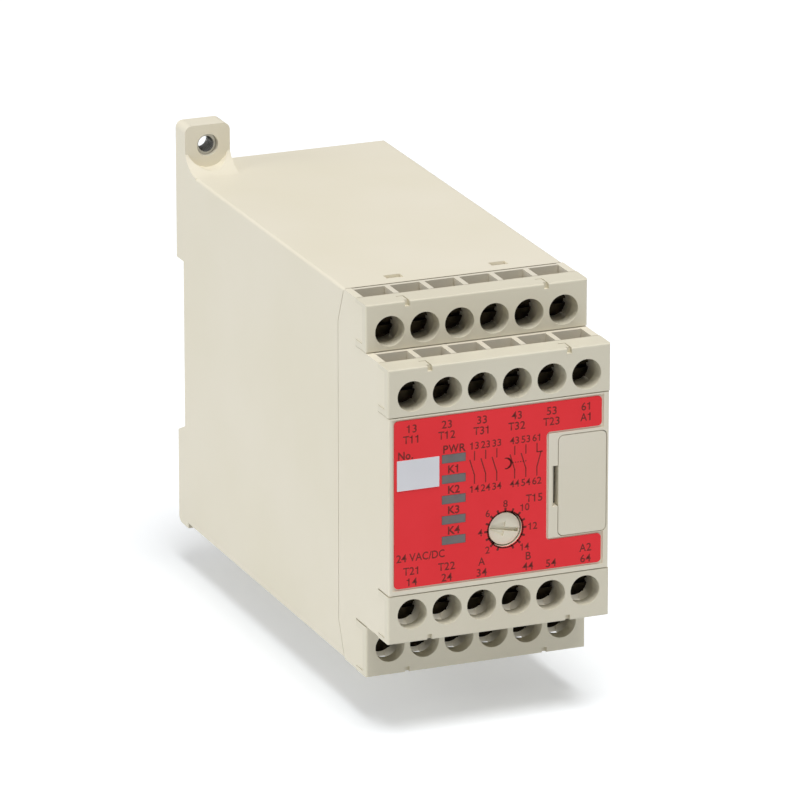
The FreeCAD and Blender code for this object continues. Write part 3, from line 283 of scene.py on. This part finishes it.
class SafetyRelayColours(bpy.types.PropertyGroup):
    """Finishes that a user would change; the names say the real material."""

    case_light: bpy.props.StringProperty(
        name="Case light", default="#E9E2D0", description="Lighter tone of the moulded case, sRGB hex")
    case_dark: bpy.props.StringProperty(
        name="Case dark", default="#E5DEC9", description="Darker tone of the moulded case, sRGB hex")
    cover_light: bpy.props.StringProperty(
        name="Cover light", default="#E1DBC7", description="Lighter tone of the terminal covers, sRGB hex")
    cover_dark: bpy.props.StringProperty(
        name="Cover dark", default="#DDD6C1", description="Darker tone of the terminal covers, sRGB hex")
    label_light: bpy.props.StringProperty(
        name="Label light", default="#F2363D", description="Lighter tone of the red film, sRGB hex")
    label_dark: bpy.props.StringProperty(
        name="Label dark", default="#EE3238", description="Darker tone of the red film, sRGB hex")
    ink: bpy.props.StringProperty(
        name="Ink", default="#6C211C", description="Printing ink on the label, sRGB hex")


class SafetyRelayPrint(bpy.types.PropertyGroup):
    """Sizes of the printing on the face label."""

    figure_height: bpy.props.FloatProperty(
        name="Terminal figures", default=1.5 * MM, unit="LENGTH", precision=5,
        description="Height of the terminal figures")
    small_height: bpy.props.FloatProperty(
        name="Small figures", default=1.35 * MM, unit="LENGTH", precision=5,
        description="Height of the figures in the contact diagram and around the dial")
    line_width: bpy.props.FloatProperty(
        name="Line width", default=0.21 * MM, unit="LENGTH", precision=5,
        description="Width of the printed lines")
    column_pitch: bpy.props.FloatProperty(
        name="Column pitch", default=7.13 * MM, unit="LENGTH", precision=5,
        description="Terminals apart, which spaces the printed columns")
    print_shift: bpy.props.FloatProperty(
        name="Print shift", default=-0.03 * MM, unit="LENGTH", precision=5,
        description="How far the printing sits to the right of the terminals")
    first_figure_line: bpy.props.FloatProperty(
        name="First line", default=15.65 * MM, unit="LENGTH", precision=5,
        description="Height of the first line of figures above the middle")
    line_drop: bpy.props.FloatProperty(
        name="Line drop", default=2.1 * MM, unit="LENGTH", precision=5,
        description="Distance between two lines of figures")
    last_figure_line: bpy.props.FloatProperty(
        name="Last line", default=14.75 * MM, unit="LENGTH", precision=5,
        description="Depth of the last line of figures below the middle")


class SafetyRelayStage(bpy.types.PropertyGroup):
    """Camera and light."""

    azimuth: bpy.props.FloatProperty(
        name="Azimuth", default=math.radians(-22.28), subtype="ANGLE",
        description="How far to the left the camera stands")
    elevation: bpy.props.FloatProperty(
        name="Elevation", default=math.radians(18.24), subtype="ANGLE",
        description="How far above the camera stands")
    distance: bpy.props.FloatProperty(
        name="Distance", default=1489.9 * MM, unit="LENGTH", description="Camera to the object's middle")
    lens: bpy.props.FloatProperty(
        name="Lens", default=345.3, unit="CAMERA", description="Focal length on a 36 mm sensor")
    aim: bpy.props.FloatVectorProperty(
        name="Aim", default=(0.62 * MM, -61.02 * MM, 3.48 * MM), subtype="TRANSLATION",
        description="Point that the camera looks at")
    key_power: bpy.props.FloatProperty(
        name="Key power", default=67.0, description="Power of the large soft lamp above, in watts")
    side_power: bpy.props.FloatProperty(
        name="Side power", default=30.0, description="Power of the large soft lamp on the left, in watts")
    fill: bpy.props.FloatProperty(
        name="Fill", default=0.28, description="Strength of the even light from all round")


# ------------------------------------------------------------------ printing


def add_flag():
    """Adds a short level flag to the top of the active figure 1, which the font draws without one."""
    flag_size, flag_place = (0.3, 0.13, 1.0), (-0.16, 0.79, 0.0)
    bpy.ops.object.mode_set(mode="EDIT")
    bpy.ops.mesh.select_all(action="DESELECT")
    bpy.ops.mesh.primitive_plane_add(size=1.0)
    bpy.ops.transform.resize(value=flag_size)
    bpy.ops.transform.translate(value=flag_place)
    bpy.ops.object.mode_set(mode="OBJECT")


def glyph(character, bolder):
    """One character as a flat mesh of height 1, drawn once and copied for every use."""
    name = f"glyph_{ord(character)}_{round(bolder * 1000)}"
    if name in bpy.data.meshes:
        return bpy.data.meshes[name]
    deselect_all()
    bpy.ops.object.text_add()
    shape = take_active(name)
    shape.data.body = character
    shape.data.align_x = "CENTER"
    shape.data.size = 1.0 / CAPITAL
    shape.data.offset = bolder
    shape.data.resolution_u = 3
    bpy.ops.object.convert(target="MESH")
    shape = take_active(name)
    if character == "1":
        add_flag()
    mesh = shape.data
    mesh.use_fake_user = True
    bpy.data.objects.remove(shape)
    return mesh


def figures(text, name, x, z, height, tight=1.0, bolder=BOLDER):
    """One word or number as a flat mesh, its middle at x, z on the label's face."""
    advances = [ADVANCE.get(character, PLAIN_ADVANCE) * tight for character in text]
    along = -sum(advances) / 2
    turn = Matrix.Rotation(math.radians(90), 4, "X")
    pieces = []
    for place, (character, advance) in enumerate(zip(text, advances)):
        if character != " ":
            piece = bpy.data.objects.new(f"{name}_{place}", glyph(character, bolder).copy())
            bpy.context.collection.objects.link(piece)
            drop = Matrix.Translation((along + advance / 2, -0.5, 0.0))
            slim = Matrix.Diagonal((NARROWER.get(character, 1.0), 1.0, 1.0, 1.0))
            piece.matrix_world = (Matrix.Translation((x, PRINT_PLANE, z)) @ turn @ Matrix.Scale(height, 4)
                                  @ drop @ slim)
            pieces.append(settle(piece))
        along += advance
    return join(pieces, name)


def bar():
    """A flat bar of size 1 by 1, drawn once and copied for every printed line."""
    if "printed_bar" not in bpy.data.meshes:
        deselect_all()
        bpy.ops.mesh.primitive_plane_add(size=1.0)
        shape = take_active("printed_bar")
        shape.data.use_fake_user = True
        bpy.data.objects.remove(shape)
    return bpy.data.meshes["printed_bar"]


def stroke(name, start, end, width):
    """A printed line between two points (x, z) on the label."""
    piece = bpy.data.objects.new(name, bar().copy())
    bpy.context.collection.objects.link(piece)
    run = Vector((end[0] - start[0], end[1] - start[1]))
    turn = Matrix.Rotation(math.radians(90), 4, "X")
    lean = Matrix.Rotation(math.atan2(run.y, run.x), 4, "Z")
    size = Matrix.Diagonal((run.length + width * 0.6, width, 1.0, 1.0))
    middle = ((start[0] + end[0]) / 2, PRINT_PLANE, (start[1] + end[1]) / 2)
    piece.matrix_world = Matrix.Translation(middle) @ turn @ lean @ size
    return settle(piece)


def ring_arc(name, centre, radius, width, start_deg, end_deg, steps):
    """A printed arc made of short strokes."""
    points = []
    for i in range(steps + 1):
        angle = math.radians(start_deg + (end_deg - start_deg) * i / steps)
        points.append((centre[0] + radius * math.cos(angle), centre[1] + radius * math.sin(angle)))
    pieces = [stroke(f"{name}_{i}", a, b, width) for i, (a, b) in enumerate(zip(points, points[1:]))]
    return pieces


def column(settings, index):
    """x of one terminal column, counted 0 to 5 from the left."""
    return settings.column_pitch * (index - 2.5) + settings.print_shift


class MATERIALS_OT_relay_finishes(bpy.types.Operator):
    """Gives every CAD piece the finish of its real material, except the terminal screws, which get a
    near-black painted shade
    """

    bl_idname = "safety_relay.finishes"
    bl_label = "Finishes"

    def execute(self, context):
        colours = context.scene.safety_relay_colours
        case = moulded_abs("moulded_abs_case", colours.case_dark, colours.case_light,
                           grain_mm=0.55, grain_depth_mm=0.02)
        cover = moulded_abs("moulded_abs_cover", colours.cover_dark, colours.cover_light,
                            grain_mm=0.6, grain_depth_mm=0.006, roughness=0.42)
        comb = moulded_abs("moulded_abs_comb", "#DDD6C4", "#E2DBCA", grain_mm=0.6, roughness=0.5)
        dial = moulded_abs("moulded_acetal_dial", "#E8E2CB", "#EDE7D3", grain_mm=0.5,
                           grain_depth_mm=0.004, roughness=0.38)
        red = printed_film("printed_polyester_red", colours.label_dark, colours.label_light)
        white = printed_film("write_on_film_white", "#E1E1E5", "#E6E6EA", roughness=0.55)
        smoke = smoked_polycarbonate("smoked_polycarbonate", "#5F5A58", "#696362")
        clear = smoked_polycarbonate("led_resin", "#C9CAB8", "#D6D7C8")
        # The terminal screws' near-black tones are painted shade: they stand in for the shade deep in the
        # terminal holes, and are not the plated steel's own colour.
        screw = turned_steel("steel_screw_painted_shade", "#211D17", "#3C352A")
        brass = turned_steel("tinned_brass", "#8C7A48", "#A89660")
        nickel = turned_steel("nickel_plate", "#9A9A98", "#C2C2C0", line_mm=0.2, roughness=0.2)
        wire = turned_steel("drawn_spring_wire", "#8A8A8A", "#A6A6A6", line_mm=0.2, roughness=0.3)
        board = fibreglass_board("fibreglass_board", "#1D5A36", "#226540")
        black = moulded_abs("moulded_pbt_black", "#181818", "#222222", grain_mm=0.5, roughness=0.45)
        blue = moulded_abs("moulded_pbt_blue", "#294875", "#30528A", grain_mm=0.5, roughness=0.45)
        shell = moulded_abs("moulded_pbt_white", "#E6E4DC", "#EEECE4", grain_mm=0.7, roughness=0.35)
        sleeve = moulded_abs("pvc_sleeve_dark", "#2E2E38", "#3A3A46", grain_mm=0.9, roughness=0.3)
        finishes = {
            "case": case, "front_housing": case, "connector_cover": case, "din_hook": cover,
            "din_hook_spring": wire, "timer_dial": dial, "upper_mount_insert": nickel,
            "lower_mount_insert": nickel, "face_label": red, "marking_label": white,
            "light_guide": smoke, "indicator_leds": clear, "timer_switch_body": blue,
            "expansion_connector": black, "front_board": board, "terminal_board": board,
            "relay_board": board, "control_board": board, "board_header": black,
            "power_module": black, "control_processors": black, "filter_capacitor_1": sleeve,
            "filter_capacitor_2": sleeve,
        }
        for number in range(1, 5):
            finishes[f"safety_relay_{number}"] = shell
            finishes[f"terminal_cover_row_{number}"] = cover
            finishes[f"terminal_block_row_{number}"] = comb
            finishes[f"terminal_screws_row_{number}"] = screw
            finishes[f"terminal_lugs_row_{number}"] = brass
        for name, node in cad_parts.items():
            node.data.materials.clear()
            node.data.materials.append(finishes[name])
        return {"FINISHED"}


class PRINT_OT_terminal_figures(bpy.types.Operator):
    """Prints the terminal figures above and below the label's middle field"""

    bl_idname = "safety_relay.terminal_figures"
    bl_label = "Terminal figures"

    def execute(self, context):
        printing = context.scene.safety_relay_print
        ink = printing_ink("printing_ink", context.scene.safety_relay_colours.ink, "#7A2823")
        upper = ["13", "23", "33", "43", "53", "61"]
        inner = ["T11", "T12", "T31", "T32", "T23", "A1"]
        lower = ["T21", "T22", "A", None, None, "A2"]
        outer = ["14", "24", "34", None, "54", "64"]
        top, drop, bottom = printing.first_figure_line, printing.line_drop, printing.last_figure_line
        lower_lift = 0.1 * MM
        lines = ((upper, top), (inner, top - drop), (lower, -bottom + drop + lower_lift), (outer, -bottom))
        pieces = []
        for words, z in lines:
            for index, word in enumerate(words):
                if word:
                    pieces.append(figures(word, f"figure_{word}", column(printing, index), z,
                                          printing.figure_height))
        shared = column(printing, 3) + 2.4 * MM
        reset_x, reset_z = 7.2 * MM, -1.2 * MM
        pieces.append(figures("B", "figure_B", shared, -bottom + drop, printing.figure_height))
        pieces.append(figures("44", "figure_44", shared, -bottom, printing.figure_height))
        pieces.append(figures("T15", "figure_T15", reset_x, reset_z, printing.figure_height))
        finish_piece(join(pieces, "terminal_figures"), "housing", ink)
        return {"FINISHED"}


class PRINT_OT_lamp_captions(bpy.types.Operator):
    """Prints the caption over each indicator window, the tag's caption and the supply rating"""

    bl_idname = "safety_relay.lamp_captions"
    bl_label = "Lamp captions"

    def execute(self, context):
        printing = context.scene.safety_relay_print
        ink = bpy.data.materials["printing_ink"]
        low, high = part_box("light_guide")
        middle = (low.x + high.x) / 2
        pitch = 4.05 * MM
        first = high.z + 1.05 * MM
        words = ["PWR", "K1", "K2", "K3", "K4"]
        pieces = [figures(word, f"caption_{word}", middle, first - pitch * i, printing.figure_height,
                          bolder=CAPTION_BOLDER) for i, word in enumerate(words)]
        tag_low, tag_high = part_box("marking_label")
        number_x, number_z = tag_low.x + 1.8 * MM, tag_high.z + 0.95 * MM
        supply_x, supply_z = -16.05 * MM, -9.85 * MM
        pieces.append(figures("No.", "caption_number", number_x, number_z,
                              printing.figure_height, bolder=CAPTION_BOLDER))
        pieces.append(figures("24 VAC/DC", "caption_supply", supply_x, supply_z,
                              printing.figure_height, tight=0.92))
        finish_piece(join(pieces, "lamp_captions"), "housing", ink)
        return {"FINISHED"}


class PRINT_OT_contact_diagram(bpy.types.Operator):
    """Prints the contact diagram: three prompt contacts, two delayed ones and one that opens"""

    bl_idname = "safety_relay.contact_diagram"
    bl_label = "Contact diagram"

    def execute(self, context):
        printing = context.scene.safety_relay_print
        ink = bpy.data.materials["printing_ink"]
        width = printing.line_width
        pitch = 2.28 * MM
        groups = ((-5.12 * MM, ("13", "23", "33"), ("14", "24", "34")),
                  (3.1 * MM, ("43", "53", "61"), ("44", "54", "62")))
        stem_top, stem_low = 9.55 * MM, 7.85 * MM
        knee, foot = 4.9 * MM, 3.2 * MM
        above_line, below_line = 10.7 * MM, 2.12 * MM
        blade_rise, rest_reach = 0.1 * MM, 1.15 * MM
        pieces = []
        for start, above, below in groups:
            for index in range(3):
                x = start + pitch * index
                pieces.append(figures(above[index], f"contact_{above[index]}", x, above_line,
                                      printing.small_height, tight=0.98))
                pieces.append(figures(below[index], f"contact_{below[index]}", x, below_line,
                                      printing.small_height, tight=0.98))
                opens = above[index] == "61"
                lean = 0.85 * MM if opens else -0.95 * MM
                name = f"contact_{index}_{above[index]}"
                pieces.append(stroke(name + "_stem", (x, stem_top), (x, stem_low), width))
                pieces.append(stroke(name + "_blade", (x + lean, stem_low + blade_rise), (x, knee), width))
                pieces.append(stroke(name + "_foot", (x, knee), (x, foot), width))
                if opens:
                    pieces.append(stroke(name + "_rest", (x, stem_low), (x + rest_reach, stem_low), width))
        delay = (1.4 * MM, 6.35 * MM)
        pieces += ring_arc("delay_arc", delay, 1.05 * MM, width, -105, 105, 14)
        pieces += ring_arc("delay_arc_full", delay, 0.9 * MM, width, -70, 70, 10)
        dots, first_dot, dot_pitch, dot_length = 6, 2.7 * MM, 0.52 * MM, 0.12 * MM
        for dot in range(dots):
            x = first_dot + dot * dot_pitch
            pieces.append(stroke(f"delay_dot_{dot}", (x, delay[1]), (x + dot_length, delay[1]), width))
        finish_piece(join(pieces, "contact_diagram"), "housing", ink)
        return {"FINISHED"}


class PRINT_OT_dial_scale(bpy.types.Operator):
    """Prints the ticks and the even figures round the time dial"""

    bl_idname = "safety_relay.dial_scale"
    bl_label = "Dial scale"

    def execute(self, context):
        printing = context.scene.safety_relay_print
        ink = bpy.data.materials["printing_ink"]
        low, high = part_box("timer_dial")
        centre = ((low.x + high.x) / 2, (low.z + high.z) / 2)
        straight_down, step, last_value = 270, 22.5, 15
        inner, outer = 3.55 * MM, 4.2 * MM
        pieces = []
        for value in range(1, last_value + 1):
            angle = math.radians(straight_down - step * value)
            near = (centre[0] + inner * math.cos(angle), centre[1] + inner * math.sin(angle))
            far = (centre[0] + outer * math.cos(angle), centre[1] + outer * math.sin(angle))
            pieces.append(stroke(f"tick_{value}", near, far, printing.line_width * 2.0))
            if value % 2 == 0:
                reach = 5.15 * MM if value < 10 else 5.6 * MM
                x = centre[0] + reach * math.cos(angle)
                z = centre[1] + reach * math.sin(angle)
                pieces.append(figures(str(value), f"dial_{value}", x, z, printing.small_height,
                                      tight=0.95))
        pieces += ring_arc("dial_rim", centre, 3.6 * MM, printing.line_width * 1.5, 0, 360, 48)
        finish_piece(join(pieces, "dial_scale"), "housing", ink)
        return {"FINISHED"}


class FITTING_OT_insert_threads(bpy.types.Operator):
    """Lays the crests of an M4 thread round the bores of both mounting inserts"""

    bl_idname = "safety_relay.insert_threads"
    bl_label = "Insert threads"

    def execute(self, context):
        nickel = bpy.data.materials["nickel_plate"]
        turns, pitch, first_turn = 6, 0.7 * MM, 0.6
        deselect_all()
        bpy.ops.mesh.primitive_torus_add(
            rotation=(math.radians(90), 0, 0), major_segments=28, minor_segments=6,
            major_radius=1.7 * MM, minor_radius=0.22 * MM)
        crest = settle(take_active("thread_crest"))
        for name in ("upper_mount_insert", "lower_mount_insert"):
            low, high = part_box(name)
            middle = (low + high) / 2
            rings = []
            for turn in range(turns):
                ring = bpy.data.objects.new(f"{name}_thread_{turn}", crest.data.copy())
                context.collection.objects.link(ring)
                y = low.y + pitch * (turn + first_turn)
                ring.matrix_world = Matrix.Translation((middle.x, y, middle.z))
                rings.append(settle(ring))
            finish_piece(join(rings, name + "_thread"), "housing", nickel)
        bpy.data.objects.remove(crest)
        return {"FINISHED"}


class STAGE_OT_studio(bpy.types.Operator):
    """Lays the pale floor, hangs the soft lamps and places the camera"""

    bl_idname = "safety_relay.studio"
    bl_label = "Studio"

    def execute(self, context):
        stage = context.scene.safety_relay_stage
        floor_level = CAD_BOX[0][2] - 0.2 * MM
        deselect_all()
        bpy.ops.mesh.primitive_plane_add(size=8.0, location=(0, 0, floor_level))
        floor = settle(take_active("floor"))
        floor.data.materials.append(studio_floor("seamless_paper", "#E5E8EB"))
        aim = Vector(stage.aim)
        self.place_camera(context, stage, aim)
        lamp_size, above, beside = 1.6, (0.0, -0.8, 2.85), (-2.9, 0.15, 0.75)
        self.hang_lamp("key_lamp", aim, above, lamp_size, stage.key_power)
        self.hang_lamp("side_lamp", aim, beside, lamp_size, stage.side_power)
        world = bpy.data.worlds.new("studio_world")
        context.scene.world = world
        world.use_nodes = True
        background = world.node_tree.nodes["Background"]
        background.inputs["Color"].default_value = (1.0, 1.0, 1.0, 1.0)
        background.inputs["Strength"].default_value = stage.fill
        context.scene.view_settings.view_transform = "Standard"
        return {"FINISHED"}

    def place_camera(self, context, stage, aim):
        across = math.cos(stage.elevation)
        back = Vector((math.sin(stage.azimuth) * across, -math.cos(stage.azimuth) * across,
                       math.sin(stage.elevation)))
        bpy.ops.object.camera_add(location=aim + back * stage.distance,
                                  rotation=back.to_track_quat("Z", "Y").to_euler())
        camera = bpy.context.object
        camera.name = "view_camera"
        camera.data.sensor_width = 36.0
        camera.data.lens = stage.lens
        camera.data.clip_start = 0.05
        context.scene.camera = camera

    def hang_lamp(self, name, aim, direction, size, power):
        away = Vector(direction)
        bpy.ops.object.light_add(type="AREA", location=aim + away,
                                 rotation=away.to_track_quat("Z", "Y").to_euler())
        lamp = bpy.context.object
        lamp.name = name
        lamp.data.shape = "DISK"
        lamp.data.size = size
        lamp.data.energy = power


OPERATORS = (
    MATERIALS_OT_relay_finishes,
    PRINT_OT_terminal_figures,
    PRINT_OT_lamp_captions,
    PRINT_OT_contact_diagram,
    PRINT_OT_dial_scale,
    FITTING_OT_insert_threads,
    STAGE_OT_studio,
)


class VIEW3D_PT_safety_relay(bpy.types.Panel):
    """Lists the relay's operators and settings"""

    bl_label = "Safety Relay"
    bl_space_type = "VIEW_3D"
    bl_region_type = "UI"
    bl_category = "Safety Relay"

    def draw(self, context):
        layout = self.layout
        for group in ("safety_relay_colours", "safety_relay_print", "safety_relay_stage"):
            settings = getattr(context.scene, group)
            box = layout.box()
            for prop in settings.__annotations__:
                box.prop(settings, prop)
        for operator in OPERATORS:
            layout.operator(operator.bl_idname)


CLASSES = (SafetyRelayColours, SafetyRelayPrint, SafetyRelayStage) + OPERATORS + (VIEW3D_PT_safety_relay,)


def register():
    for cls in CLASSES:
        bpy.utils.register_class(cls)
    scene = bpy.types.Scene
    scene.safety_relay_colours = bpy.props.PointerProperty(type=SafetyRelayColours)
    scene.safety_relay_print = bpy.props.PointerProperty(type=SafetyRelayPrint)
    scene.safety_relay_stage = bpy.props.PointerProperty(type=SafetyRelayStage)


def unregister():
    for group in ("safety_relay_colours", "safety_relay_print", "safety_relay_stage"):
        delattr(bpy.types.Scene, group)
    for cls in reversed(CLASSES):
        bpy.utils.unregister_class(cls)


def main():
    """Runs every operator in turn."""
    register()
    for operator in OPERATORS:
        group, name = operator.bl_idname.split(".")
        getattr(getattr(bpy.ops, group), name)()


if __name__ == "__main__":
    main()
